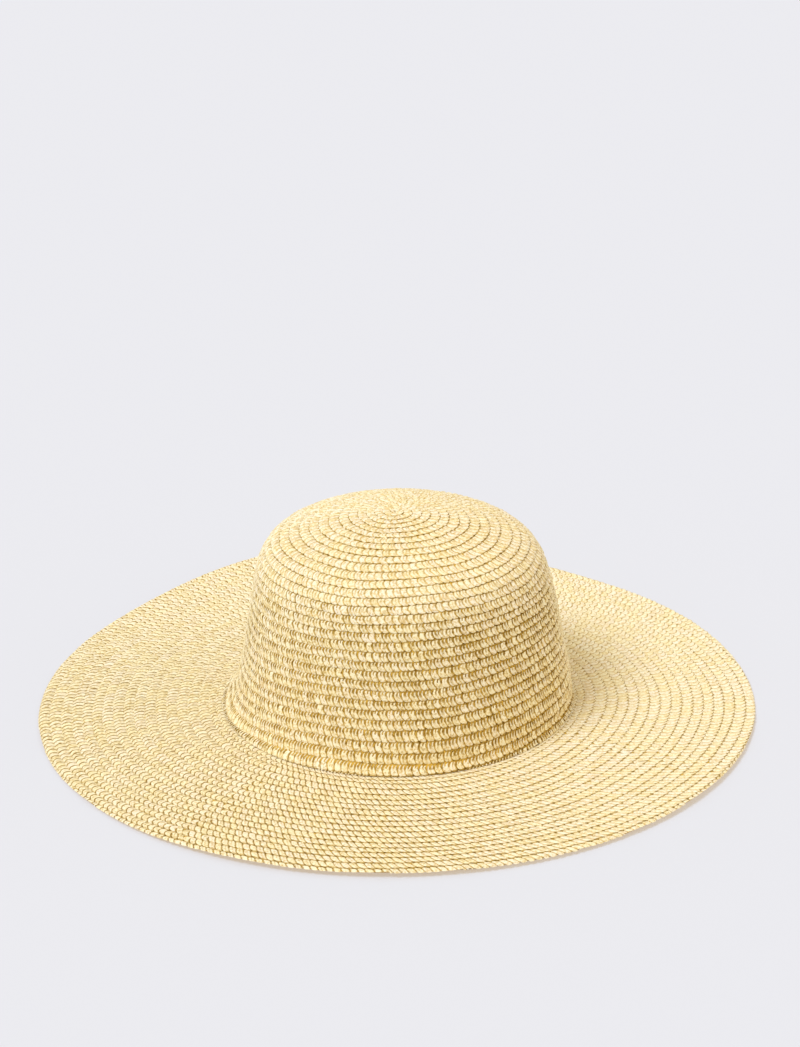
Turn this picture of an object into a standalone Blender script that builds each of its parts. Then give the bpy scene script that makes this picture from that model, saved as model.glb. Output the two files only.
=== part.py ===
"""Wide-brim straw hat: a crown and a brim, each a coil of flat braid, resting on the brim's edge.

Metres, +Z up. The origin is the middle of the hat on the surface that it rests on. The hat faces -Y. Angles run from
+X, to the right as seen from the front, towards +Y, the back.
"""

import math
from functools import partial
from typing import NamedTuple

import bmesh
import bpy

BRIM_DIAMETER = 0.400
CROWN_HEIGHT = 0.112
FOOT_RADIUS = 0.0991
CROWN_WALL = 0.0015
BRIM_WALL = 0.0015
BRIM_RISE = 0.0022
SEAM_LAP = 0.0025
SEAM_GAP = 0.0003
CROWN_ROW = 0.0054
BRIM_ROW = 0.0059
ROW_RELIEF = 0.0007
PEG_SEAT_RADIUS = 0.0120
CROWN_SIDES = 40
BRIM_SIDES = 60
CURVE_STEPS = 12
CROWN_INNER_RINGS = 13
BRIM_UNDER_RINGS = 6


class Section(NamedTuple):
    """A level ring of the crown's outer face: shares of FOOT_RADIUS, CROWN_HEIGHT and FOOT_RADIUS."""

    radius: float
    height: float
    shift: float


CROWN_SECTIONS = (
    Section(radius=0.000, height=1.000, shift=0.008),
    Section(radius=0.150, height=0.992, shift=0.009),
    Section(radius=0.303, height=0.971, shift=0.011),
    Section(radius=0.454, height=0.939, shift=0.013),
    Section(radius=0.605, height=0.895, shift=0.018),
    Section(radius=0.692, height=0.857, shift=0.024),
    Section(radius=0.748, height=0.812, shift=0.031),
    Section(radius=0.790, height=0.750, shift=0.036),
    Section(radius=0.818, height=0.670, shift=0.041),
    Section(radius=0.841, height=0.571, shift=0.045),
    Section(radius=0.864, height=0.464, shift=0.046),
    Section(radius=0.885, height=0.357, shift=0.046),
    Section(radius=0.907, height=0.250, shift=0.046),
    Section(radius=0.929, height=0.160, shift=0.043),
    Section(radius=0.948, height=0.089, shift=0.035),
    Section(radius=0.966, height=0.036, shift=0.018),
    Section(radius=1.000, height=0.000, shift=0.006),
)


class Fold(NamedTuple):
    """A long wave in the brim's edge: its direction and half width in degrees, its lift as a share of the width."""

    direction: float
    half_width: float
    lift: float


BRIM_FOLDS = (
    Fold(direction=100.0, half_width=52.0, lift=0.111),
    Fold(direction=259.0, half_width=65.0, lift=0.024),
    Fold(direction=322.0, half_width=38.0, lift=0.022),
)

FOOT_SHIFT = CROWN_SECTIONS[-1].shift * FOOT_RADIUS
BRIM_INNER_RADIUS = FOOT_RADIUS - SEAM_LAP
BRIM_OUTER_RADIUS = BRIM_DIAMETER / 2
BRIM_WIDTH = BRIM_OUTER_RADIUS - BRIM_INNER_RADIUS
FOOT_HEIGHT = BRIM_RISE + BRIM_WALL + SEAM_GAP


def clear_scene():
    for item in list(bpy.data.objects):
        bpy.data.objects.remove(item, do_unlink=True)


def straw(name, colour, roughness):
    """A plain straw material."""
    material = bpy.data.materials.new(name)
    material.use_nodes = True
    shader = material.node_tree.nodes["Principled BSDF"]
    shader.inputs["Base Color"].default_value = (*colour, 1.0)
    shader.inputs["Roughness"].default_value = roughness
    shader.inputs["Metallic"].default_value = 0.0
    return material


def curve_through(stations):
    """Points of a smooth curve through stations, which are tuples of equal length."""
    padded = [stations[0], *stations, stations[-1]]
    points = []
    for before, start, end, after in zip(padded, padded[1:], padded[2:], padded[3:]):
        for step in range(CURVE_STEPS):
            t = step / CURVE_STEPS
            points.append(tuple(
                0.5 * (2 * b + (c - a) * t + (2 * a - 5 * b + 4 * c - d) * t**2 + (3 * b - a - 3 * c + d) * t**3)
                for a, b, c, d in zip(before, start, end, after)
            ))
    return [*points, stations[-1]]


class Profile:
    """The crown's outer face in section, from the middle of the tip down to the foot."""

    def __init__(self):
        self.points = curve_through([
            (section.radius * FOOT_RADIUS, section.height * CROWN_HEIGHT, section.shift * FOOT_RADIUS)
            for section in CROWN_SECTIONS
        ])
        self.along = [0.0]
        for (r0, z0, _), (r1, z1, _) in zip(self.points, self.points[1:]):
            self.along.append(self.along[-1] + math.hypot(r1 - r0, z1 - z0))
        self.length = self.along[-1]

    def at(self, distance):
        """Radius, height, sideways shift and outward normal (across, up) at a distance from the tip's middle."""
        last = len(self.points) - 2
        piece = next((i for i in range(last) if self.along[i + 1] > distance), last)
        run = self.along[piece + 1] - self.along[piece]
        share = min((distance - self.along[piece]) / run, 1.0)
        (r0, z0, x0), (r1, z1, x1) = self.points[piece], self.points[piece + 1]
        normal = ((z0 - z1) / run, (r1 - r0) / run)
        return r0 + (r1 - r0) * share, z0 + (z1 - z0) * share, x0 + (x1 - x0) * share, normal


def heading(side, sides):
    """The angle of a corner of a ring. Corners follow the braid, which runs outwards clockwise seen from above."""
    return -math.tau * side / sides


def rows_that_fit(length, row):
    """A whole number of braid rows along a length, and the width that each then has."""
    count = max(2, round(length / row))
    return count, length / count


def coil_face(mesh, length, row, sides, place, pointed):
    """Outer face of a coil of braid, a groove and a crest line for each turn, between two level edges.

    place(distance, angle, relief) gives a point. The inner edge is one point if pointed. Near the outer edge the rows
    follow it for half a turn and drift out to it over the other half. Returns the inner and the outer edge as lists
    of vertices.
    """
    count, pitch = rows_that_fit(length, row)
    found = {}

    def corner(line, side):
        turn, crest = divmod(line, 2)
        rows = turn - 1 + side / sides + crest / 2
        outwards = min(max(rows / count, 0.0), 1.0)
        distance = (rows + (abs(side / sides - 0.5) - 0.5) * outwards**1.5) * pitch
        if distance >= length - pitch / (2 * sides):
            key, distance = ("outer", side % sides), length
        elif distance <= pitch / (2 * sides):
            key, distance = ("inner", 0 if pointed else side % sides), 0.0
        else:
            key = (line + 2 * (side // sides), side % sides)
        if key not in found:
            relief = ROW_RELIEF * crest * min(1.0, 2 * distance / pitch, 2 * (length - distance) / pitch)
            found[key] = mesh.verts.new(place(distance, heading(side, sides), relief))
        return found[key]

    for line in range(2 * (count + 1)):
        for side in range(sides):
            loop = [corner(line, side), corner(line, side + 1), corner(line + 1, side + 1), corner(line + 1, side)]
            loop = [vert for place_in_loop, vert in enumerate(loop) if vert not in loop[:place_in_loop]]
            if len(loop) > 2:
                mesh.faces.new(loop)
    inner = [found[("inner", 0 if pointed else side)] for side in range(1 if pointed else sides)]
    return inner, [found[("outer", side)] for side in range(sides)]


def ring(mesh, sides, place):
    return [mesh.verts.new(place(heading(side, sides))) for side in range(sides)]


def bridge(mesh, first, second):
    """Joins two rings of the same number of sides by a band of faces."""
    for side in range(len(first)):
        following = (side + 1) % len(first)
        mesh.faces.new([first[side], first[following], second[following], second[side]])


def finish(name, mesh, material):
    """Makes the object of a closed mesh, with its faces pointing out."""
    bmesh.ops.recalc_face_normals(mesh, faces=mesh.faces[:])
    bmesh.ops.triangulate(mesh, faces=mesh.faces[:])
    data = bpy.data.meshes.new(name)
    mesh.to_mesh(data)
    mesh.free()
    data.shade_smooth()
    data.set_sharp_from_angle(angle=math.radians(40))
    data.materials.append(material)
    item = bpy.data.objects.new(name, data)
    bpy.context.collection.objects.link(item)
    return item


def make_crown(material):
    """The crown: a coil over the profile, with a plain inner face and a level foot that seats on the brim."""
    profile = Profile()

    def outer(distance, angle, relief):
        radius, height, shift, (across, up) = profile.at(distance)
        radius += across * relief
        return (
            shift + radius * math.cos(angle),
            radius * math.sin(angle),
            FOOT_HEIGHT + height + up * relief,
        )

    def inner(distance, angle):
        radius, height, shift, (across, up) = profile.at(distance)
        radius, height = radius - across * CROWN_WALL, height - up * CROWN_WALL
        return shift + radius * math.cos(angle), radius * math.sin(angle), FOOT_HEIGHT + height

    def foot(angle):
        radius, _, shift, (across, _) = profile.at(profile.length)
        radius -= CROWN_WALL / across
        return shift + radius * math.cos(angle), radius * math.sin(angle), FOOT_HEIGHT

    mesh = bmesh.new()
    _, outer_edge = coil_face(mesh, profile.length, CROWN_ROW, CROWN_SIDES, outer, pointed=True)
    above = ring(mesh, CROWN_SIDES, foot)
    bridge(mesh, outer_edge, above)
    lowest = profile.length - 2 * CROWN_WALL
    for step in range(CROWN_INNER_RINGS):
        distance = lowest + (PEG_SEAT_RADIUS - lowest) * step / (CROWN_INNER_RINGS - 1)
        level = ring(mesh, CROWN_SIDES, partial(inner, distance))
        bridge(mesh, above, level)
        above = level
    mesh.faces.new(above)
    return finish("crown", mesh, material)


def fold_lift(angle):
    """How far the brim's edge is lifted off the surface in a direction."""
    lift = 0.0
    for fold in BRIM_FOLDS:
        away = abs((math.degrees(angle) - fold.direction + 180) % 360 - 180)
        if away < fold.half_width:
            lift += fold.lift * BRIM_WIDTH * 0.5 * (1 + math.cos(math.pi * away / fold.half_width))
    return lift


def make_brim(material):
    """The brim: a coil from under the crown's foot out to the edge, whose last row is level."""
    level_from = 1 - BRIM_ROW / BRIM_WIDTH

    def under(distance, angle):
        share = distance / BRIM_WIDTH
        radius = BRIM_INNER_RADIUS + distance
        out = min(share / level_from, 1.0)
        return (
            FOOT_SHIFT * (1 - share) + radius * math.cos(angle),
            radius * math.sin(angle),
            BRIM_RISE * (1 - out) + fold_lift(angle) * out**1.5,
        )

    def over(distance, angle, relief):
        x, y, z = under(distance, angle)
        clear_of_foot = min(1.0, max(0.0, (distance - SEAM_LAP) / BRIM_ROW))
        return x, y, z + BRIM_WALL + relief * clear_of_foot

    mesh = bmesh.new()
    inner_edge, outer_edge = coil_face(mesh, BRIM_WIDTH, BRIM_ROW, BRIM_SIDES, over, pointed=False)
    previous = inner_edge
    for step in range(BRIM_UNDER_RINGS):
        distance = BRIM_WIDTH * level_from * step / (BRIM_UNDER_RINGS - 1)
        level = ring(mesh, BRIM_SIDES, partial(under, distance))
        bridge(mesh, previous, level)
        previous = level
    edge = ring(mesh, BRIM_SIDES, partial(under, BRIM_WIDTH))
    bridge(mesh, previous, edge)
    bridge(mesh, edge, outer_edge)
    return finish("brim", mesh, material)


clear_scene()
make_crown(straw("crown_straw", (0.86, 0.68, 0.33), 0.62))
make_brim(straw("brim_straw", (0.87, 0.70, 0.36), 0.62))
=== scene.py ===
"""Looks of a wide-brim straw hat: its crown and brim, each a coil of flat braid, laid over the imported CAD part.

Metres, +Z up, in the frame of the CAD part: the origin is the middle of the hat on the floor and the hat faces -Y.
Angles run from +X towards +Y, and the braid runs outwards clockwise as seen from above. One Geometry Nodes tree lays
every face of braid: it copies a strand along a straight line, then winds the line onto the face's section.
"""

import logging
import math
from collections.abc import Mapping, Sequence
from dataclasses import dataclass
from enum import Enum
from typing import Any

import bmesh
import bpy
import numpy as np
from mathutils import Matrix, Vector


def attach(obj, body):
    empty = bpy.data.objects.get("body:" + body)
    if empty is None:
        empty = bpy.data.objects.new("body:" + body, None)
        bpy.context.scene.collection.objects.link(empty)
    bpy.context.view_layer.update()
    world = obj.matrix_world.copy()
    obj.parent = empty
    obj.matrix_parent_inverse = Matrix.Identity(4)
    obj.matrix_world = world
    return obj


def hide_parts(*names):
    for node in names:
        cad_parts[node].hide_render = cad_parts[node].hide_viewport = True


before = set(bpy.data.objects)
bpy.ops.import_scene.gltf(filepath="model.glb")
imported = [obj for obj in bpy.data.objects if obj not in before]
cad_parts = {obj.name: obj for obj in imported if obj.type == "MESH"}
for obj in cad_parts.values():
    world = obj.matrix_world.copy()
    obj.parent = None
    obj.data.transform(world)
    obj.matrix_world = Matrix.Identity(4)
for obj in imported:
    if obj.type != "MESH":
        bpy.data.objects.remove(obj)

log = logging.getLogger("hat")

Colour = tuple[float, float, float]
DEGREES = np.arange(361.0)  # each whole degree of a turn, with both ends


def linear(red: float, green: float, blue: float) -> Colour:
    """A linear colour from the red, green and blue of a picture, each from 0 to 255."""
    shares = (red / 255, green / 255, blue / 255)
    return tuple(c / 12.92 if c <= 0.04045 else ((c + 0.055) / 1.055) ** 2.4 for c in shares)


def unit(value: float) -> float:
    """A number, held between 0 and 1."""
    return min(max(value, 0.0), 1.0)


def apart(first: Any, second: float) -> Any:
    """How far a direction, or each of many, lies from another, in degrees."""
    return abs((first - second + 180) % 360 - 180)


def linked(name: str, data: bpy.types.ID) -> bpy.types.Object:
    """A new object with some data, put in the scene."""
    made = bpy.data.objects.new(name, data)
    bpy.context.collection.objects.link(made)
    return made


class Wire:
    """A value that runs through a node tree. Arithmetic on it adds Math nodes."""

    def __init__(self, board: "Board", socket: bpy.types.NodeSocket) -> None:
        """Wraps an output socket of a node on a board."""
        self.board = board
        self.socket = socket

    def __add__(self, other: Any) -> "Wire":
        """This value plus another."""
        return self.board.math("ADD", self, other)

    def __sub__(self, other: Any) -> "Wire":
        """This value less another."""
        return self.board.math("SUBTRACT", self, other)

    def __rsub__(self, other: Any) -> "Wire":
        """Another value less this one."""
        return self.board.math("SUBTRACT", other, self)

    def __mul__(self, other: Any) -> "Wire":
        """This value times another."""
        return self.board.math("MULTIPLY", self, other)

    def __truediv__(self, other: Any) -> "Wire":
        """This value over another."""
        return self.board.math("DIVIDE", self, other)

    def __pow__(self, other: Any) -> "Wire":
        """This value to a power."""
        return self.board.math("POWER", self, other)

    def __abs__(self) -> "Wire":
        """This value without its sign."""
        return self.board.math("ABSOLUTE", self)

    def floor(self) -> "Wire":
        """The whole number below this value."""
        return self.board.math("FLOOR", self)

    def fraction(self) -> "Wire":
        """What this value has above the whole number below it."""
        return self.board.math("FRACT", self)

    def unit(self) -> "Wire":
        """This value, held between 0 and 1."""
        return self.board.math("MINIMUM", self.at_least(0), 1)

    def at_least(self, other: Any) -> "Wire":
        """The larger of this value and another."""
        return self.board.math("MAXIMUM", self, other)

    def rise(self, low: float, high: float) -> "Wire":
        """A smooth step of this value, 0 up to low and 1 from high on.

        Args:
            low: Where the step starts.
            high: Where the step ends.

        Returns:
            The step, from 0 to 1.
        """
        return self.board.read(
            "Result",
            "ShaderNodeMapRange",
            {"Value": self, "From Min": low, "From Max": high},
            interpolation_type="SMOOTHSTEP",
        )


class Board:
    """A node tree under construction."""

    def __init__(self, tree: bpy.types.NodeTree) -> None:
        """Takes a tree to add nodes to."""
        self.tree = tree

    def feed(self, socket: bpy.types.NodeSocket, value: Any) -> None:
        """Links a wire to an input socket, or sets the socket's own value.

        Args:
            socket: The input socket.
            value: A wire, a number, a vector, a colour or a name.
        """
        if isinstance(value, Wire):
            self.tree.links.new(value.socket, socket)
        elif socket.type == "RGBA" and len(value) == 3:
            socket.default_value = (*value, 1.0)
        else:
            socket.default_value = value

    def node(self, kind: str, sockets: Mapping[str | int, Any], **settings: Any) -> bpy.types.Node:
        """Adds a node.

        Args:
            kind: The node's type.
            sockets: The values or wires of its inputs, by name or number.
            settings: Its settings, which are set first.

        Returns:
            The node.
        """
        made = self.tree.nodes.new(kind)
        for name, value in settings.items():
            setattr(made, name, value)
        for key, value in sockets.items():
            self.feed(made.inputs[key], value)
        return made

    def out(self, made: bpy.types.Node, key: str | int) -> Wire:
        """The wire from a node's output socket."""
        return Wire(self, made.outputs[key])

    def read(self, output: str | int, kind: str, sockets: Mapping[str | int, Any], **settings: Any) -> Wire:
        """The wire from one output of a node that it adds."""
        return self.out(self.node(kind, sockets, **settings), output)

    def math(self, operation: str, *values: Any) -> Wire:
        """The result of an operation on one, two or three values."""
        return self.read("Value", "ShaderNodeMath", dict(enumerate(values)), operation=operation)

    def blend(self, share: Any, first: Any, second: Any) -> Wire:
        """A mix of two colours, with a share from 0 to 1 of the second."""
        return self.read(2, "ShaderNodeMix", {0: share, 6: first, 7: second}, data_type="RGBA")

    def noise(self, place: Wire, scale: float, detail: float) -> Wire:
        """Noise from 0 to 1 at a place. Its scale is how fine it is, its detail how many finer layers it has."""
        return self.read("Fac", "ShaderNodeTexNoise", {"Vector": place, "Scale": scale, "Detail": detail})

    def between(self, share: Wire, first: Wire, second: Wire) -> Wire:
        """The vector that lies a share of the way from one vector to another."""
        return self.read(1, "ShaderNodeMix", {0: share, 4: first, 5: second}, data_type="VECTOR")

    def split(self, vector: Wire) -> tuple[Wire, ...]:
        """The three numbers of a vector."""
        made = self.node("ShaderNodeSeparateXYZ", {"Vector": vector})
        return tuple(self.out(made, number) for number in range(3))

    def vector(self, x: Any, y: Any, z: Any) -> Wire:
        """A vector of three numbers."""
        return self.read(0, "ShaderNodeCombineXYZ", {0: x, 1: y, 2: z})


def painted(name: str) -> tuple[bpy.types.Material, Board, Any]:
    """A new material, the board of its nodes and the inputs of its shader."""
    made = bpy.data.materials.new(name)
    made.use_nodes = True
    return made, Board(made.node_tree), made.node_tree.nodes["Principled BSDF"].inputs


@dataclass(frozen=True)
class RowPlan:
    """Where the rows of braid lie on the crown or on the brim.

    The pace says how many rows reach how far, from none up to all of them and the full distance. The drift says how
    far the rows at some levels lie off their even places, in hundredths of a row, by direction in degrees. It is none
    at the back, in the directions of still.
    """

    pace: tuple[tuple[float, float], ...]
    levels: tuple[int, ...]
    drift: Mapping[int, tuple[int, ...]]
    still: tuple[int, ...] = (30, 90, 150)
    softness: float = 5.0
    unevenness: float = 0.12

    @property
    def count(self) -> float:
        """How many rows there are."""
        return self.pace[-1][0]

    def field(self, seed: int) -> np.ndarray:
        """How far each row lies off its even place in each direction, in rows.

        Args:
            seed: The seed for what is uneven by hand.

        Returns:
            A line of numbers for each row, with one number a degree from 0 to 360.
        """
        angles = (*self.still, *self.drift)
        none = (0,) * len(self.levels)
        table = np.array([self.drift.get(angle, none) for angle in angles]) / 100
        lines = math.ceil(self.count) + 1
        at_rows = np.array([np.interp(np.linspace(0, self.count, lines), self.levels, line) for line in table])
        smooth = np.exp(-0.5 * (np.arange(-15, 16) / self.softness) ** 2)
        smooth /= smooth.sum()
        chance = np.random.default_rng(seed)
        field = np.empty((lines, len(DEGREES)))
        for row in range(lines):
            even = np.interp(DEGREES[:360], angles, at_rows[:, row], period=360)
            line, uneven = (
                np.convolve(np.tile(values, 3), smooth, "same")[360:720] for values in (even, chance.normal(0, 1, 360))
            )
            line = line + self.unevenness * uneven
            field[row] = np.append(line, line[0])
        return field


CROWN_ROWS = RowPlan(
    pace=(
        (0.00, 0.0000), (4.20, 0.0198), (6.19, 0.0297), (8.18, 0.0406), (10.17, 0.0517),
        (12.16, 0.0641), (14.15, 0.0754), (16.13, 0.0853), (19.11, 0.0998), (22.09, 0.1158),
        (26.05, 0.1380), (28.04, 0.1491), (30.02, 0.1621), (32.00, 0.1743),
    ),
    levels=(0, 4, 8, 12, 16, 20, 24, 28, 31, 33),
    drift={
        195: (0, -20, 30, 40, 70, 95, 115, 110, 70, 40),
        205: (0, -15, 28, 40, 70, 95, 115, 105, 60, 35),
        225: (0, 0, 10, 28, 47, 65, 60, 49, 11, 0),
        245: (0, 10, 4, 46, 48, 27, 4, 2, -18, -15),
        265: (0, 0, -3, 18, 8, 13, 11, 1, -11, -10),
        285: (0, 0, 0, 0, 0, 0, 0, 0, 0, 0),
        305: (0, 0, 16, 30, 16, -14, -39, -42, -31, -35),
        325: (0, 13, 27, 33, 20, -22, -50, -61, -69, -75),
        345: (0, 20, 40, 35, 9, -6, -30, -48, -53, -60),
    },
)
BRIM_ROWS = RowPlan(
    pace=(
        (0.00, 0.0000), (2.20, 0.0097), (5.18, 0.0272), (9.14, 0.0498), (13.09, 0.0722),
        (17.03, 0.0929), (18.93, 0.1034),
    ),
    levels=(0, 2, 4, 7, 10, 13, 16, 17, 19),
    drift={
        175: (0, -40, -40, -24, -7, 11, 42, 69, 75),
        185: (0, -40, -40, -24, -7, 11, 42, 69, 75),
        195: (0, -39, -18, -10, 11, 25, 57, 76, 80),
        205: (0, -8, -1, 4, 11, 22, 52, 66, 70),
        225: (0, -22, -7, 2, 14, 25, 27, 42, 45),
        245: (0, -50, -24, -27, -17, -8, 19, 43, 45),
        265: (0, -23, -11, -15, -1, 18, 29, 38, 40),
        275: (0, -4, 0, -4, 11, 28, 11, 21, 20),
        285: (0, 0, 0, 0, 0, 0, 0, 0, 0),
        295: (0, 1, 1, 7, 7, 1, -8, 5, 5),
        305: (0, -20, 0, 2, 0, 20, 23, 35, 35),
        325: (0, -43, -17, -15, -9, 22, 41, 60, 65),
        345: (0, -54, -13, 3, 16, 35, 59, 75, 80),
        355: (0, -22, 10, 15, 38, 52, 85, 97, 100),
        365: (0, -10, 10, 15, 38, 52, 85, 97, 100),
    },
)


class Face(Enum):
    """The four faces of braid on the hat."""

    CROWN_OUTSIDE = "crown_braid"
    CROWN_INSIDE = "crown_inner_braid"
    BRIM_TOP = "brim_braid"
    BRIM_UNDER = "brim_under_braid"


@dataclass
class Waves:
    """How a face leaves the level and its rows leave their even places, at each degree from 0 to 360.

    The lift has one number a degree. The drift, in rows, has one line of numbers for each level from the first row to
    the last.
    """

    lift: np.ndarray
    drift: np.ndarray

    def mesh_object(self) -> bpy.types.Object:
        """An object whose corners hold lift and drift, level after level."""
        data = bpy.data.meshes.new("waves")
        lift = np.broadcast_to(self.lift, self.drift.shape)
        data.from_pydata(np.column_stack([lift.ravel(), self.drift.ravel(), 0 * lift.ravel()]).tolist(), [], [])
        return linked("waves", data)


@dataclass
class Section:
    """A face of braid in section, at equal steps of the rows from the first to the last."""

    steps: np.ndarray
    radius: np.ndarray
    shift: np.ndarray
    height: np.ndarray
    across: np.ndarray
    up: np.ndarray
    relief: np.ndarray
    lift: np.ndarray

    @classmethod
    def through(
        cls, points: Sequence[tuple[float, ...]], pace: Sequence[tuple[float, float]], count: int = 400
    ) -> "Section":
        """A section through points, at equal steps of the rows.

        Args:
            points: Distance, radius, shift, height, outward across, outward up, relief and lift of each point.
            pace: How many rows reach how far, from nothing up to all rows and the full distance.
            count: How many steps to take.

        Returns:
            The section.
        """
        table = np.array(points, float).T
        rows, reach = np.array(pace, float).T
        steps = np.interp(np.linspace(0, rows[-1], count + 1), rows, reach) * table[0][-1] / reach[-1]
        return cls(steps, *(np.interp(steps, table[0], column) for column in table[1:]))

    def mesh_object(self) -> bpy.types.Object:
        """An object whose corners hold radius, shift and height, with the rest of the table as attributes."""
        data = bpy.data.meshes.new("section")
        data.from_pydata(np.column_stack([self.radius, self.shift, self.height]).tolist(), [], [])
        outward = data.attributes.new("outward", "FLOAT_VECTOR", "POINT")
        outward.data.foreach_set("vector", np.column_stack([self.across, self.up, self.relief]).ravel())
        lift = data.attributes.new("lift_share", "FLOAT", "POINT")
        lift.data.foreach_set("value", self.lift)
        return linked("section", data)

    def place(self, waves: Waves, distance: np.ndarray, angle: np.ndarray, sink: float) -> np.ndarray:
        """Points on the face.

        Args:
            waves: The brim's waves.
            distance: Distances from the first row's inner edge.
            angle: Angles, of the same shape.
            sink: How far below the face the points lie.

        Returns:
            The points, with their three numbers on the last axis.
        """
        radius, shift, height, across, up, lift = (
            np.interp(distance, self.steps, column)
            for column in (self.radius, self.shift, self.height, self.across, self.up, self.lift)
        )
        raised = np.interp(np.degrees(angle) % 360, DEGREES, waves.lift)
        radius = radius - across * sink
        return np.stack(
            [shift + radius * np.cos(angle), radius * np.sin(angle), height - up * sink + raised * lift], axis=-1
        )


@dataclass(frozen=True)
class Strand:
    """One strand of the plait, bent to a chevron, as it lies in the row.

    Along the row it is measured in strands, across the row in rows and upwards in millimetres. It has a line of
    corners at each of the stops across the row, which leads the row's middle by a part of a strand. Its outer end,
    past round_from, is rounded by the scallop. A lane along it has a place along the row, how far the gap at a stop
    shifts that, a share of the way from side to middle height, and a place across the strand. Up to slot_end there is
    a slot between the third and the fourth lane.
    """

    scallop: float = 0.07
    round_from: float = 0.85
    stops: tuple[float, ...] = (-0.05, 0.08, 0.28, 0.50, 0.72, 0.90, 1.00, 1.04)
    leads: tuple[float, ...] = (-0.04, 0.05, 0.15, 0.13, -0.01, -0.17, -0.28, -0.32)
    middle: tuple[float, ...] = (-0.25, 0.05, 0.30, 0.42, 0.52, 0.55, 0.30, -0.15)
    side: tuple[float, ...] = (-0.35, -0.26, -0.14, -0.08, -0.04, -0.04, -0.16, -0.32)

    lanes: tuple[tuple[float, float, float, float], ...] = (
        (-0.5, 0, 0.0, 0.0), (-0.21, 0, 0.93, 0.29), (0.21, 0, 1.0, 0.71), (0.5, 0, 0.0, 1.0),
    )
    gaps: tuple[float, ...] = (0.0,) * 8
    slot_end: int = 0

    def mesh_object(self) -> bpy.types.Object:
        """The strand as an object, with a map of where each corner lies on it."""
        corners, places = [], []
        for across, lead, top, low, gap in zip(self.stops, self.leads, self.middle, self.side, self.gaps):
            for along, pull, share, over in self.lanes:
                trim = self.scallop * abs(2 * over - 1) ** 2 if across > self.round_from else 0.0
                corners.append((along + pull * gap + lead, across - trim, (low + (top - low) * share) / 1000))
                places.append((over, unit(across)))
        wide = len(self.lanes)
        faces = [
            (row * wide + i, row * wide + i + 1, (row + 1) * wide + i + 1, (row + 1) * wide + i)
            for row in range(len(self.stops) - 1)
            for i in range(wide - 1)
            if i != 2 or row >= self.slot_end
        ]
        data = bpy.data.meshes.new("strand")
        data.from_pydata(corners, [], faces)
        layer = data.uv_layers.new(name="strand")
        for loop in data.loops:
            layer.data[loop.index].uv = places[loop.vertex_index]
        data.shade_smooth()
        return linked("strand", data)


# Two thin straws in the inner half of the row, with a slot between them.
SPLIT_STRAND = Strand(
    stops=(-0.05, 0.06, 0.19, 0.33, 0.48, 0.72, 0.92, 1.03),
    leads=(0.00, 0.05, 0.12, 0.12, 0.06, -0.10, -0.26, -0.34),
    middle=(-0.20, 0.10, 0.32, 0.40, 0.42, 0.48, 0.42, -0.15),
    side=(-0.35, -0.26, -0.20, -0.16, -0.14, -0.10, -0.12, -0.32),
    lanes=(
        (-0.5, 1, 0.0, 0.0), (-0.27, 0, 1.0, 0.3), (0.0, -1, 0.2, 0.5),
        (0.0, 1, 0.2, 0.5), (0.27, 0, 1.0, 0.7), (0.5, -1, 0.0, 1.0),
    ),
    gaps=(0.07, 0.08, 0.09, 0.07, 0.02, 0.01, 0.01, 0.01),
    slot_end=3,
)


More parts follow.
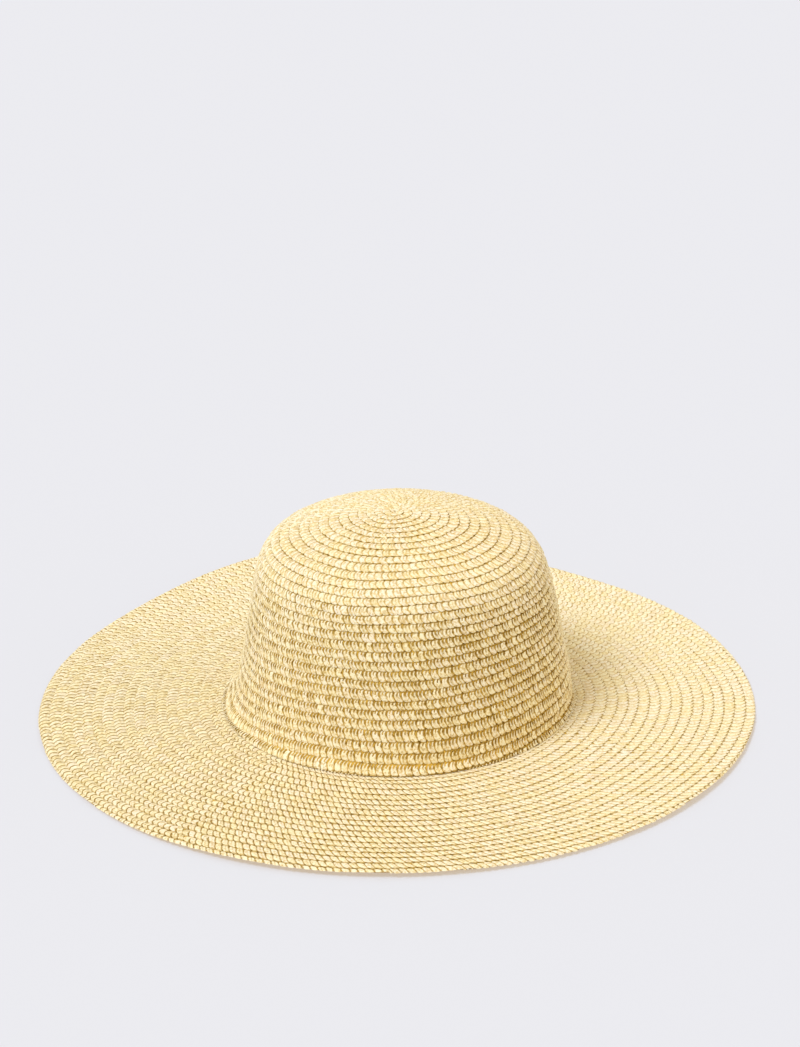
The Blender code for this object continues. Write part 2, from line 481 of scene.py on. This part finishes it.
class BraidTree:
    """The Geometry Nodes tree that winds a line of strands onto a section."""

    inputs = {
        "Geometry": ("Strand places",),
        "Object": ("Strand", "Other strand", "Section", "Waves"),
        "Float": ("Rows", "Section steps", "Wave levels", "Unevenness"),
        "Bool": ("Turned over",),
        "Material": ("Straw",),
    }
    shake_scale = 300.0

    def __init__(self) -> None:
        """Builds the tree."""
        self.tree = bpy.data.node_groups.new("lay_braid", "GeometryNodeTree")
        self.board = Board(self.tree)
        self.sockets: dict[str, str] = {}
        self.tree.interface.new_socket(name="Geometry", in_out="OUTPUT", socket_type="NodeSocketGeometry")
        for kind, names in self.inputs.items():
            for name in names:
                socket = self.tree.interface.new_socket(name=name, in_out="INPUT", socket_type=f"NodeSocket{kind}")
                self.sockets[name] = socket.identifier
        self._build()

    def _object(self, given: bpy.types.Node, name: str) -> Wire:
        """The mesh of an object that is an input."""
        return self.board.read("Geometry", "GeometryNodeObjectInfo", {"Object": self.board.out(given, name)})

    def _attribute(self, name: str, kind: str = "FLOAT") -> Wire:
        """A named attribute of a data type."""
        return self.board.read("Attribute", "GeometryNodeInputNamedAttribute", {"Name": name}, data_type=kind)

    def _look_up(self, table: Wire, value: Wire, place: Wire) -> Wire:
        """A value from a table of corners, between two of them.

        Args:
            table: The mesh that is the table.
            value: What to read there.
            place: The number of the corner, with a fraction.

        Returns:
            The value, as a vector.
        """
        corners = [
            self.board.read(
                "Value",
                "GeometryNodeSampleIndex",
                {"Geometry": table, "Value": value, "Index": place.floor() + step},
                data_type="FLOAT_VECTOR",
                domain="POINT",
                clamp=True,
            )
            for step in (0, 1)
        ]
        return self.board.between(place.fraction(), *corners)

    def _strands(self, given: bpy.types.Node, name: str, chosen: Wire) -> Wire:
        """Copies of a strand at those places of the line that want it."""
        return self.board.read(
            "Instances",
            "GeometryNodeInstanceOnPoints",
            {
                "Points": self.board.out(given, "Strand places"),
                "Selection": chosen,
                "Instance": self._object(given, name),
                "Scale": self.board.vector(self._attribute("span"), 1.0, self._attribute("heft")),
            },
        )

    def _build(self) -> None:
        """Adds the nodes."""
        board = self.board
        given = board.node("NodeGroupInput", {})
        other = self._attribute("other")
        joined = board.node("GeometryNodeJoinGeometry", {})
        for name, test in (("Strand", "LESS_THAN"), ("Other strand", "GREATER_THAN")):
            board.feed(joined.inputs[0], self._strands(given, name, board.math(test, other, 0.5)))
        real = board.read(0, "GeometryNodeRealizeInstances", {"Geometry": board.out(joined, 0)})

        here = board.read(0, "GeometryNodeInputPosition", {})
        turn, across, relief = board.split(here)
        rows = board.out(given, "Rows")
        part = turn.fraction()
        row = turn + across
        row = row + (row / rows).unit() ** 1.5 * (abs(part - 0.5) - 0.5)
        level = (row / rows).unit() * board.out(given, "Wave levels")
        first = level.floor() * len(DEGREES) + (1 - part) * 360
        waves = self._object(given, "Waves")
        lower, upper = (self._look_up(waves, here, at) for at in (first, first + len(DEGREES)))
        lift, drift, _ = board.split(board.between(level.fraction(), lower, upper))
        share = (row + drift) / rows
        trimmed = board.read(
            0,
            "GeometryNodeDeleteGeometry",
            {"Geometry": real, "Selection": board.math("GREATER_THAN", abs(share - 0.5), 0.5)},
            domain="FACE",
            mode="ALL",
        )
        place = share.unit() * board.out(given, "Section steps")

        table = self._object(given, "Section")
        radius, shift, height = board.split(self._look_up(table, here, place))
        outward = self._attribute("outward", "FLOAT_VECTOR")
        out_across, out_up, stand = board.split(self._look_up(table, outward, place))
        lift_share, _, _ = board.split(self._look_up(table, self._attribute("lift_share"), place))
        angle = turn * -math.tau
        relief = relief * stand
        radius = radius + out_across * relief
        laid = board.vector(
            shift + radius * board.math("COSINE", angle),
            radius * board.math("SINE", angle),
            height + out_up * relief + lift * lift_share,
        )
        moved = board.read(0, "GeometryNodeSetPosition", {"Geometry": trimmed, "Position": laid})

        noise = board.read("Color", "ShaderNodeTexNoise", {"Scale": self.shake_scale, "Detail": 2.0})
        shake = board.read(0, "ShaderNodeVectorMath", {0: noise, 1: (0.5, 0.5, 0.5)}, operation="SUBTRACT")
        size = board.out(given, "Unevenness")
        shake = board.read(0, "ShaderNodeVectorMath", {0: shake, "Scale": size}, operation="SCALE")
        shaken = board.read(0, "GeometryNodeSetPosition", {"Geometry": moved, "Offset": shake})
        over = board.out(given, "Turned over")
        turned = board.read(0, "GeometryNodeFlipFaces", {"Mesh": shaken, "Selection": over})
        straw = board.out(given, "Straw")
        dressed = board.read(0, "GeometryNodeSetMaterial", {"Geometry": turned, "Material": straw})
        board.node("NodeGroupOutput", {"Geometry": dressed})

    def lay(self, name: str, places: bpy.types.Object, inputs: Mapping[str, Any]) -> bpy.types.Object:
        """Lays a face of braid.

        Args:
            name: The new piece's name.
            places: The object whose corners are the strands' places on the line.
            inputs: The tree's inputs, by name.

        Returns:
            The piece, a plain mesh.
        """
        modifier = places.modifiers.new("braid", "NODES")
        modifier.node_group = self.tree
        for key, value in inputs.items():
            modifier[self.sockets[key]] = value
        places.update_tag()
        view = bpy.context.evaluated_depsgraph_get()
        view.update()
        data = bpy.data.meshes.new_from_object(places.evaluated_get(view), depsgraph=view)
        data.name = name
        piece = linked(name, data)
        places.modifiers.remove(modifier)
        bpy.data.objects.remove(places, do_unlink=True)
        return piece


@dataclass(frozen=True)
class StrawFinish:
    """The finish of plaited straw, pale along each strand, with painted shade at its flanks, splits, slots and ends.

    The gap colour is painted shade along the flanks and the seams, and also the colour of random blotches and grain;
    the slot colour is painted shade in the slots between strands; the shade colour is darker painted shade at the
    seams' corners.
    """

    name: str
    crest: Colour = linear(255, 252, 238)
    warm: Colour = linear(255, 243, 200)
    blush: Colour = linear(255, 243, 230)
    # Painted shade along flanks and seams; also the colour of random blotches and grain.
    gap: Colour = linear(222, 184, 86)
    # Painted shade in the slots between strands.
    slot_shade: Colour = linear(129, 92, 10)
    shade: Colour = linear(102, 71, 8)
    roughness: float = 0.60
    # From here to the split's strength: where and how strong the painted shade lies at the seams, in the slots, along
    # the flanks, at the seams' corners and along each strand's split.
    seam_from: float = 0.94
    seam_between: float = 0.35
    slot: float = 0.65
    dash: float = 0.1
    edge_from: float = 0.64
    corner: float = 0.06
    widening: float = 0.12
    split_shade: float = 1.0
    grain: float = 0.45
    blotches: float = 0.25
    bump: float = 0.0008

    def material(self) -> bpy.types.Material:
        """Builds the material.

        Returns:
            The material, which reads the strand's own map, its tint and tone, and how strong the painted shade is at
            its seam and slits.
        """
        made, board, inputs = painted(self.name)
        over, along, _ = board.split(board.read("UV", "ShaderNodeUVMap", {}, uv_map="strand"))
        tint, tone, seam, slit = (
            board.read("Fac", "ShaderNodeAttribute", {}, attribute_name=name)
            for name in ("tint", "tone", "seam", "slit")
        )
        fibre = board.noise(board.vector(over * 7, along * 1.6, tint * 37), 1.0, 3.0)
        here = board.read("Object", "ShaderNodeTexCoord", {})
        blotch = board.noise(here, 420.0, 2.0)
        grain = board.noise(here, 760.0, 1.0)
        side = abs(over - 0.5) * 2
        inner = 1 - (along + (blotch - 0.5) * 0.5).rise(0.36, 0.62)
        # Painted shade along the strand's flanks, wider in the inner half of the row where the slits are shaded.
        flank_shade = side + (fibre - 0.5) * 0.6 + inner * slit * self.widening
        flank_shade = flank_shade.rise(self.edge_from, self.edge_from + 0.3)
        # Painted shade along the split down the middle of some strands, stronger in the row's inner half.
        split_shade = (1 - (side + (fibre - 0.5) * 0.3).rise(0.04, 0.34)) * (tint * 13).fraction().rise(0.2, 0.8)
        line = flank_shade.at_least(split_shade * (inner * 0.45 + 0.45) * self.split_shade)
        # Painted shade along the seams at the row's ends, wider where the slits are shaded and towards the corners.
        end = abs(along - 0.5) * 2 + (blotch - 0.5) * 0.4 + seam * slit * 0.18 + side**3 * self.corner
        end = end.rise(self.seam_from, self.seam_from + 0.12)
        straw = board.blend(tint.rise(0.2, 1.0) * 0.6, self.crest, self.warm)
        straw = board.blend((1 - tint).rise(0.5, 1.0) * 0.6, straw, self.blush)
        # Warmer where the slits are shaded, as painted golden shade, and by the random tone.
        straw = board.blend(tone * 0.3 + slit * 0.35, straw, self.warm)
        straw = board.blend(blotch.rise(0.52, 0.68) * self.blotches, straw, self.gap)
        straw = board.blend(grain.rise(0.47, 0.60) * self.grain, straw, self.gap)
        # Paints the shade along flanks and splits, then along the seams, in the gap colour.
        straw = board.blend(line * (slit * 0.45 + 0.45), straw, self.gap)
        straw = board.blend(end * seam * 0.8, straw, self.gap)
        # Darker painted shade at the seams' corners.
        corners = end * seam * (side**2 * (1 - self.seam_between) + self.seam_between)
        # Painted shade in the slots between strands, with grain specks where the slits are shaded.
        slots = line * slit * (inner * self.slot + self.dash)
        slots = slots + grain.rise(0.58, 0.68) * slit * self.grain * 0.8
        straw = board.blend(slots, straw, self.slot_shade)
        straw = board.blend(corners, straw, self.shade)
        board.feed(inputs["Base Color"], straw)
        board.feed(inputs["Roughness"], fibre * 0.2 + (self.roughness - 0.12))
        board.feed(inputs["Specular IOR Level"], 0.04)
        height = fibre * 0.3 + grain * 0.7
        bump = board.read(0, "ShaderNodeBump", {"Height": height, "Strength": 0.7, "Distance": self.bump})
        board.feed(inputs["Normal"], bump)
        return made


@dataclass(frozen=True)
class CoreShadeFinish:
    """The finish of the core that shows in the slots between strands: straw painted dark golden, as painted shade in
    the slots, mottled by noise.
    """

    name: str
    straw: Colour = linear(222, 182, 84)
    shade: Colour = linear(182, 140, 52)
    roughness: float = 0.8

    def material(self) -> bpy.types.Material:
        """Builds the material.

        Returns:
            The material, which reads Object coordinates.
        """
        made, board, inputs = painted(self.name)
        grain = board.noise(board.read("Object", "ShaderNodeTexCoord", {}), 300.0, 2.0)
        # Painted shade of the slots, mottled by noise between two golden browns.
        board.feed(inputs["Base Color"], board.blend(grain.rise(0.35, 0.65), self.straw, self.shade))
        board.feed(inputs["Roughness"], self.roughness)
        board.feed(inputs["Specular IOR Level"], 0.0)
        return made


@dataclass
class Coil:
    """What the crown and the brim have in common: a coil of braid on both faces of a thin core.

    A share is how far out a place lies, from 0 at the first row to 1 at the last, and an angle is in degrees. The
    lengths are those of the strands, at some shares.
    """

    node: str
    slot: str
    faces: tuple[Face, Face]
    rows: RowPlan
    finish: StrawFinish
    core_shade_finish: CoreShadeFinish
    waves: Waves
    strand: Strand
    other_strand: Strand
    seed: int
    lengths: tuple[tuple[float, ...], tuple[float, ...]]
    unevenness: float = 0.0009
    heft: float = 1.0
    heft_range: tuple[float, float] = (0.8, 1.2)
    # How far each strand's painted shade at its seam and slits strays at random.
    dark_range: tuple[float, float] = (0.7, 1.1)
    span_range: float = 0.10
    first_turn: float = -1.93
    least_radius: float = 0.0025
    wall: float = 0.0015
    groove: float = 0.00025
    core_sides: int = 120
    core_rings: int = 48

    def strand_length(self, share: float) -> float:
        """How long a strand is along the row."""
        return float(np.interp(share, *self.lengths))

    def other_share(self, share: float, angle: float) -> float:
        """How likely a strand is to be of the other kind, from 0 to 1."""
        raise NotImplementedError

    def painted_shade(self, share: float, angle: float) -> tuple[float, float]:
        """How strong the painted shade is in the seam between two rows and in the slits between strands, from 0 to 1.
        """
        raise NotImplementedError

    def line(self, section: Section, seed: int) -> bpy.types.Object:
        """Marks the strands' places along the braid, before it is wound up.

        Args:
            section: The face's section.
            seed: The seed for what is uneven.

        Returns:
            An object with a corner for each strand, which holds its size, its tints and the strength of its painted
            shade as attributes.
        """
        chance = np.random.default_rng(seed)
        rows = self.rows.count
        marks: list[dict[str, float]] = []
        phases = chance.uniform(0, math.tau, 6)
        index = np.arange(len(section.steps))
        turn = self.first_turn
        while turn < rows + 1.5:
            share = unit((turn + 0.5) / rows)
            angle = (-turn % 1) * 360
            radius = float(np.interp(share * index[-1], index, section.radius))
            span = self.strand_length(share) * (1 + self.span_range * chance.uniform(-1, 1))
            span /= math.tau * max(radius, self.least_radius)
            run = turn * 2.3
            drift = sum(math.sin(run * k**1.4 + phase) / k for k, phase in enumerate(phases, start=1))
            # How strong the painted shade is at this strand's seam and slits, by where it lies.
            seam, slit = self.painted_shade(share, angle)
            marks.append({
                "turn": turn + span / 2,
                "span": span,
                "heft": self.heft * chance.uniform(*self.heft_range) * (0.6 + 0.5 * seam),
                "seam": seam * chance.uniform(*self.dark_range),
                "slit": slit * chance.uniform(*self.dark_range),
                "other": float(chance.random() < self.other_share(share, angle)),
                "tint": float(chance.random()),
                "tone": unit(0.5 + 0.28 * drift + chance.normal(0, 0.12)),
            })
            turn += span
        data = bpy.data.meshes.new("line")
        data.from_pydata([(mark.pop("turn"), 0.0, 0.0) for mark in marks], [], [])
        for name in marks[0]:
            values = [mark[name] for mark in marks]
            data.attributes.new(name, "FLOAT", "POINT").data.foreach_set("value", values)
        return linked("line", data)

    def braid(
        self, tree: BraidTree, section: Section, straw: bpy.types.Material, under: bool
    ) -> bpy.types.Object:
        """Lays one face of braid and dresses it.

        Args:
            tree: The tree that lays it.
            section: Its section.
            straw: Its material.
            under: Whether it is the inner or lower face.

        Returns:
            The piece.
        """
        shapes = {"Strand": self.strand, "Other strand": self.other_strand, "Section": section, "Waves": self.waves}
        helpers = {name: shape.mesh_object() for name, shape in shapes.items()}
        piece = tree.lay(
            self.faces[under].value,
            self.line(section, self.seed + under),
            {
                **helpers,
                "Rows": float(self.rows.count),
                "Section steps": float(len(section.steps) - 1),
                "Wave levels": float(len(self.waves.drift) - 1),
                "Unevenness": self.unevenness,
                "Turned over": under,
                "Straw": straw,
            },
        )
        for helper in helpers.values():
            bpy.data.objects.remove(helper, do_unlink=True)
        return piece

    def core(self, outer: Section, inner: Section) -> bpy.types.Object:
        """Builds the thin core between two faces of braid, a groove below both.

        Args:
            outer: The section of the upper or outer face.
            inner: The section of the lower or inner face.

        Returns:
            The piece, a closed shell.
        """
        name = f"{self.node}_core"
        angle = np.linspace(0, math.tau, self.core_sides, endpoint=False)
        rings = []
        for section, order in ((outer, 1), (inner, -1)):
            steps = np.linspace(0, section.steps[-1], self.core_rings)[::order]
            rings.append(section.place(self.waves, *np.meshgrid(steps, angle, indexing="ij"), self.groove))
        points = np.concatenate(rings)
        count = len(points)
        mesh = bmesh.new()
        corners = [[mesh.verts.new(point) for point in ring] for ring in points]
        for ring in range(count):
            after = (ring + 1) % count
            for side in range(self.core_sides):
                beside = (side + 1) % self.core_sides
                mesh.faces.new(
                    (corners[ring][side], corners[ring][beside], corners[after][beside], corners[after][side])
                )
        bmesh.ops.remove_doubles(mesh, verts=mesh.verts[:], dist=1e-5)
        bmesh.ops.dissolve_degenerate(mesh, edges=mesh.edges[:], dist=1e-6)
        bmesh.ops.recalc_face_normals(mesh, faces=mesh.faces[:])
        data = bpy.data.meshes.new(name)
        mesh.to_mesh(data)
        mesh.free()
        data.shade_smooth()
        data.materials.append(self.core_shade_finish.material())
        return linked(name, data)

    def sections(self) -> tuple[Section, Section]:
        """The sections of the outer or upper face and of the inner or lower face."""
        raise NotImplementedError

    def build(self, tree: BraidTree) -> list[bpy.types.Object]:
        """Builds the pieces, dresses them and ties them to the CAD part.

        Args:
            tree: The tree that lays the braid.

        Returns:
            The pieces.
        """
        straw = self.finish.material()
        outer, inner = self.sections()
        pieces = [
            self.braid(tree, outer, straw, under=False),
            self.braid(tree, inner, straw, under=True),
            self.core(outer, inner),
        ]
        for piece in pieces:
            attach(piece, "root")
            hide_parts(self.node)
        return pieces


@dataclass
class Crown(Coil):
    """The crown, a coil over a rounded tapering section that flares to its foot.

    Its levels are shares of the foot's radius, of the height and, for the shift to the side, of the foot's radius.
    """

    height: float = 0.112
    foot_radius: float = 0.0991
    foot_height: float = 0.004
    edge_round: float = 0.0005
    edge_steps: int = 8
    edge_bend: float = 12.0
    edge_fade: float = 0.08
    inner_relief: float = 0.00055
    inner_stop: float = 0.002
    levels: tuple[tuple[float, float, float], ...] = (
        (0.000, 1.000, 0.008), (0.150, 0.992, 0.009), (0.303, 0.971, 0.011), (0.454, 0.939, 0.013),
        (0.605, 0.895, 0.018), (0.692, 0.857, 0.024), (0.748, 0.812, 0.031), (0.790, 0.750, 0.036),
        (0.818, 0.670, 0.041), (0.841, 0.571, 0.045), (0.864, 0.464, 0.046), (0.885, 0.357, 0.046),
        (0.907, 0.250, 0.046), (0.929, 0.160, 0.043), (0.948, 0.089, 0.035), (0.966, 0.036, 0.018),
        (1.000, 0.000, 0.006),
    )

    def other_share(self, share: float, angle: float) -> float:
        """How likely a strand is to be split: most are in the lower half, and fewer on the right."""
        return unit((share - 0.46) / 0.20) * min(0.92, 0.6 + max(0.0, apart(angle, 20) - 50) / 60)

    def painted_shade(self, share: float, angle: float) -> tuple[float, float]:
        """How strong the painted shade is in the seam between two rows and in the slits between strands, from 0 to 1:
        the seams' shade grows on the lower right, the side away from the key light, and fades on the lower left, the
        lit side, and the slits' shade grows towards the foot.
        """
        low = unit((share - 0.46) / 0.16)
        # How far a place faces right, the side away from the key light.
        right = 0.5 + 0.5 * math.cos(math.radians(angle + 20))
        seam = 1.0 + low * (0.3 * right - 0.8 * (1 - right))
        return seam, 0.2 + min(share, 0.5) * 0.4 + low * (0.5 + 0.1 * right)

    def profile(self) -> np.ndarray:
        """Distance, radius, height and shift of the outer face, from the middle of the tip down to the foot."""
        scale = (self.foot_radius, self.height, self.foot_radius)
        stations = np.array(self.levels) * scale
        padded = np.vstack([stations[:1], stations, stations[-1:]])
        t = np.linspace(0, 1, 12, endpoint=False)[:, None]
        parts = [
            0.5 * (2 * b + (c - a) * t + (2 * a - 5 * b + 4 * c - d) * t**2 + (3 * b - a - 3 * c + d) * t**3)
            for a, b, c, d in zip(padded, padded[1:], padded[2:], padded[3:])
        ]
        line = np.vstack([*parts, stations[-1:]])
        runs = np.hypot(np.diff(line[:, 0]), np.diff(line[:, 1]))
        return np.column_stack([np.concatenate([[0.0], np.cumsum(runs)]), line])

    def sections(self) -> tuple[Section, Section]:
        """The sections of the outside, which ends in a rounded foot, and of the inside, which stops just short of the
        foot.
        """
        profile = self.profile()
        distance, radius, height, shift = profile.T
        across, up = -np.gradient(height, distance), np.gradient(radius, distance)
        size = np.hypot(across, up)
        across, up = across / size, up / size
        across[0], up[0] = 0.0, 1.0
        stop = distance <= distance[-1] - 1.8 * self.edge_round
        outside = [
            (s, r, x, self.foot_height + z, a, u, 1.0, 0.0)
            for s, r, x, z, a, u in zip(*(c[stop] for c in (distance, radius, shift, height, across, up)))
        ]
        s, r, x, z, a, u, _, _ = outside[-1]
        start = math.atan2(u, a)
        for step in range(1, self.edge_steps + 1):
            bend = math.radians(self.edge_bend * step)
            cosine, sine = math.cos(start - bend), math.sin(start - bend)
            run, out, down = (self.edge_round * size for size in (bend, cosine - a, sine - u))
            outside.append((s + run, r + out, x, z + down, cosine, sine, 1.0 - self.edge_fade * step, 0.0))
        sunk = self.wall - self.inner_relief
        inner_r, inner_z = radius - across * sunk, self.foot_height + height - up * sunk
        keep = (distance <= distance[-1] - self.inner_stop) & (inner_r >= 0)
        inside = [
            (s, r, x, z, -a, -u, 1.0, 0.0)
            for s, r, x, z, a, u in zip(*(c[keep] for c in (distance, inner_r, shift, inner_z, across, up)))
        ]
        return Section.through(outside, self.rows.pace), Section.through(inside, self.rows.pace)


@dataclass
class Brim(Coil):
    """The brim, a coil from under the crown's foot out to the edge, with long low folds.

    Its table of shade gives, by direction, how strong the painted shade is in the seams and the slits.
    """

    inner_radius: float = 0.0966
    width: float = 0.1034
    rise: float = 0.0022
    row: float = 0.0059
    lap: float = 0.0025
    middle_shift: float = 0.0005946
    relief_room: float = 0.0006
    under_relief: float = 0.7
    edge_steps: int = 10
    edge_bend: float = 10.0
    under_steps: int = 8
    under_inset: float = 0.0002
    # By direction in degrees: how strong the painted shade is in the seams, then in the slits.
    shade_table: tuple[tuple[float, float, float], ...] = (
        (0, 0.65, 0.2), (90, 0.5, 0.4), (170, 0.2, 0.9), (200, 0.25, 0.9),
        (235, 0.7, 0.65), (270, 0.95, 0.5), (310, 0.75, 0.25), (360, 0.65, 0.2),
    )

    def other_share(self, share: float, angle: float) -> float:
        """How likely a strand is to lie slanted: those in front do."""
        return unit((52 - apart(angle, 283)) / 8)

    def painted_shade(self, share: float, angle: float) -> tuple[float, float]:
        """How strong the painted shade is in the seam between two rows and in the slits between strands. The front
        rim's last row has a stronger painted seam, a painted shadow where the edge is lifted off the floor.
        """
        angles, *shade_table = np.array(self.shade_table).T
        seam, slit = (float(np.interp(angle, angles, dark)) for dark in shade_table)
        # Painted shadow along the front rim's edge, where the brim is lifted off the floor.
        rim = unit((share - 0.965) / 0.01) * max(0.0, math.cos(math.radians(angle - 285)))
        return max(seam, 1.5 * rim), slit

    def sections(self) -> tuple[Section, Section]:
        """The sections of the top and the underside, which meet round the edge."""
        level_from = 1 - self.row / self.width
        edge_round = self.wall / 2
        flat = self.width - edge_round
        top, under = [], []
        for distance in np.linspace(0, flat, 240):
            share = distance / self.width
            out = min(share / level_from, 1.0)
            shift = self.middle_shift * (1 - share)
            radius = self.inner_radius + distance
            height = self.rise * (1 - out)
            stand = min(1.0, max(0.0, (distance - self.lap) / 0.003))
            top.append((distance, radius, shift, height + self.wall, 0.0, 1.0, stand, out**1.5))
            under.append((
                distance, radius, shift, height + self.relief_room, 0.0, -1.0, self.under_relief, out**1.5
            ))
        for step in range(1, self.edge_steps + 1):
            bend = math.radians(self.edge_bend * step)
            cosine, sine = math.cos(bend), math.sin(bend)
            run, radius = flat + edge_round * bend, self.inner_radius + flat + edge_round * sine
            top.append((run, radius, 0.0, edge_round + edge_round * cosine, sine, cosine, 1.0, 1.0))
            if step <= self.under_steps:
                height = self.relief_room + edge_round * (1 - cosine)
                under.append((run, radius - self.under_inset, 0.0, height, sine, -cosine, self.under_relief, 1.0))
        return Section.through(top, self.rows.pace), Section.through(under, self.rows.pace)


@dataclass(frozen=True)
class Fold:
    """A long wave in the brim's edge: direction and half width in degrees, lift in metres."""

    direction: float
    half_width: float
    lift: float

    def height(self, degrees: np.ndarray) -> np.ndarray:
        """How far the fold lifts the edge in each direction."""
        away = apart(degrees, self.direction)
        return np.where(away < self.half_width, 0.5 * self.lift * (1 + np.cos(np.pi * away / self.half_width)), 0.0)


@dataclass
class Studio:
    """The floor, the light and the camera."""

    floor_colour: Colour = (0.341, 0.454, 0.641)
    floor_glow: Colour = (0.440, 0.330, 0.240)
    sky_colour: Colour = (1.0, 0.93, 0.77)
    key_colour: Colour = (0.95, 0.98, 1.0)
    fill_colour: Colour = (1.0, 0.72, 0.30)
    floor_size: float = 8.0
    sky: float = 0.73
    key: float = 1.54
    key_along: tuple[float, float, float] = (0.55, 0.35, -1.0)
    key_width: float = 25.0
    fill: float = 0.42
    fill_along: tuple[float, float, float] = (-0.9, 0.25, -0.3)
    fill_width: float = 60.0
    distance: float = 1.8
    base: float = 0.00075
    elevation: float = 26.307
    aim_down: float = 23.145
    aim_right: float = 0.114
    roll: float = -0.96
    lens: float = 110.09

    def floor(self) -> None:
        """Makes the plain pale floor, a white sheet that is lit through."""
        half = self.floor_size / 2
        data = bpy.data.meshes.new("floor")
        data.from_pydata([(-half, -half, 0), (half, -half, 0), (half, half, 0), (-half, half, 0)], [], [(0, 1, 2, 3)])
        material, board, inputs = painted("floor")
        for name, value in {
            "Base Color": self.floor_colour,
            "Roughness": 1.0,
            "Specular IOR Level": 0.0,
            "Emission Color": self.floor_glow,
            "Emission Strength": 1.0,
        }.items():
            board.feed(inputs[name], value)
        data.materials.append(material)
        linked("floor", data)

    def light(self) -> None:
        """Makes the even sky, the soft key light from the upper left in front and a warm fill from the right."""
        world = bpy.data.worlds.new("studio")
        world.use_nodes = True
        inputs = world.node_tree.nodes["Background"].inputs
        inputs["Color"].default_value = (*self.sky_colour, 1.0)
        inputs["Strength"].default_value = self.sky
        bpy.context.scene.world = world
        self.sun("key", self.key, self.key_colour, self.key_width, Vector(self.key_along))
        self.sun("fill", self.fill, self.fill_colour, self.fill_width, Vector(self.fill_along))
        bpy.context.scene.view_settings.view_transform = "Standard"

    def sun(self, name: str, strength: float, colour: Colour, width: float, along: Vector) -> None:
        """Makes a broad light from one side.

        Args:
            name: Its name.
            strength: How strong it is.
            colour: Its colour.
            width: How wide it looks from the hat, in degrees.
            along: The way that its light goes.
        """
        data = bpy.data.lights.new(name, "SUN")
        data.energy = strength
        data.color = colour
        data.angle = math.radians(width)
        made = linked(name, data)
        made.rotation_mode = "QUATERNION"
        made.rotation_quaternion = along.to_track_quat("-Z", "Y")

    def camera(self) -> None:
        """Makes the camera, at the photograph's viewing angle."""
        rise = math.radians(self.elevation)
        down, aside, roll = (math.radians(a) for a in (self.aim_down, self.aim_right, self.roll))
        ahead = Vector((0, math.cos(down), -math.sin(down)))
        above = Vector((0, math.sin(down), math.cos(down)))
        right = Vector((1, 0, 0))
        ahead, right = (
            ahead * math.cos(aside) + right * math.sin(aside),
            right * math.cos(aside) - ahead * math.sin(aside),
        )
        right, above = (
            right * math.cos(roll) + above * math.sin(roll),
            above * math.cos(roll) - right * math.sin(roll),
        )
        data = bpy.data.cameras.new("camera")
        data.lens = self.lens
        data.clip_start, data.clip_end = 0.05, 50.0
        made = linked("camera", data)
        place = Vector((0, -self.distance * math.cos(rise), self.distance * math.sin(rise) + self.base))
        turned = Matrix((right, above, -ahead)).transposed().to_4x4()
        made.matrix_world = Matrix.Translation(place) @ turned
        bpy.context.scene.camera = made


def brim_waves(seed: int, brim_width: float) -> Waves:
    """The brim's folds, its small ripples and the drift of its rows.

    Args:
        seed: The seed for what is uneven by hand.
        brim_width: The brim's width.

    Returns:
        The waves.
    """
    folds = (
        Fold(100.0, 52.0, 0.111 * brim_width),
        Fold(259.0, 65.0, 0.024 * brim_width),
        Fold(322.0, 38.0, 0.022 * brim_width),
    )
    chance = np.random.default_rng(seed)
    lift = sum(fold.height(DEGREES) for fold in folds)
    for cycles in range(5, 16):
        lift = lift + chance.normal(0, 0.00007) * np.cos(np.radians(cycles * DEGREES) + chance.uniform(0, math.tau))
    return Waves(lift, BRIM_ROWS.field(seed))


def crown_waves(seed: int) -> Waves:
    """The drift of the crown's rows, which has no folds."""
    return Waves(0 * DEGREES, CROWN_ROWS.field(seed))


def main() -> None:
    """Builds the hat and the studio and reports each piece."""
    logging.basicConfig(level=logging.INFO, format="%(message)s")
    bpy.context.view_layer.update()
    studio = Studio()
    studio.floor()
    studio.light()
    studio.camera()
    tree = BraidTree()
    crown = Crown(
        node="crown",
        slot="crown_straw",
        faces=(Face.CROWN_OUTSIDE, Face.CROWN_INSIDE),
        rows=CROWN_ROWS,
        finish=StrawFinish("crown_straw"),
        core_shade_finish=CoreShadeFinish("crown_core_shaded_straw"),
        waves=crown_waves(3),
        strand=Strand(),
        other_strand=SPLIT_STRAND,
        seed=11,
        lengths=((0.45, 0.65), (0.0037, 0.0040)),
    )
    # The brim's straw: wider painted shade at the seams and their corners, more painted dashes along the flanks, less
    # in the slots and splits.
    brim_finish = StrawFinish(
        "brim_straw",
        seam_from=0.92,
        slot=0.2,
        dash=0.9,
        edge_from=0.66,
        corner=0.22,
        widening=0.0,
        split_shade=0.4,
        grain=0.38,
        blotches=0.15,
        bump=0.0006,
    )
    brim = Brim(
        node="brim",
        slot="brim_straw",
        faces=(Face.BRIM_TOP, Face.BRIM_UNDER),
        rows=BRIM_ROWS,
        finish=brim_finish,
        core_shade_finish=CoreShadeFinish("brim_core_shaded_straw"),
        waves=brim_waves(5, Brim.width),
        strand=Strand(leads=(0.02, 0.14, 0.24, 0.20, 0.02, -0.24, -0.44, -0.50)),
        other_strand=Strand(leads=(0.50, 0.40, 0.26, 0.10, -0.10, -0.28, -0.44, -0.50)),
        seed=23,
        lengths=((0.0, 0.5, 0.8, 1.0), (0.0036, 0.0037, 0.0039, 0.0041)),
        unevenness=0.0007,
        heft=0.8,
        span_range=0.06,
    )
    pieces = [*crown.build(tree), *brim.build(tree)]
    for piece in pieces:
        piece.data.calc_loop_triangles()
        log.info("%s: %d triangles", piece.name, len(piece.data.loop_triangles))


if __name__ == "__main__":
    main()
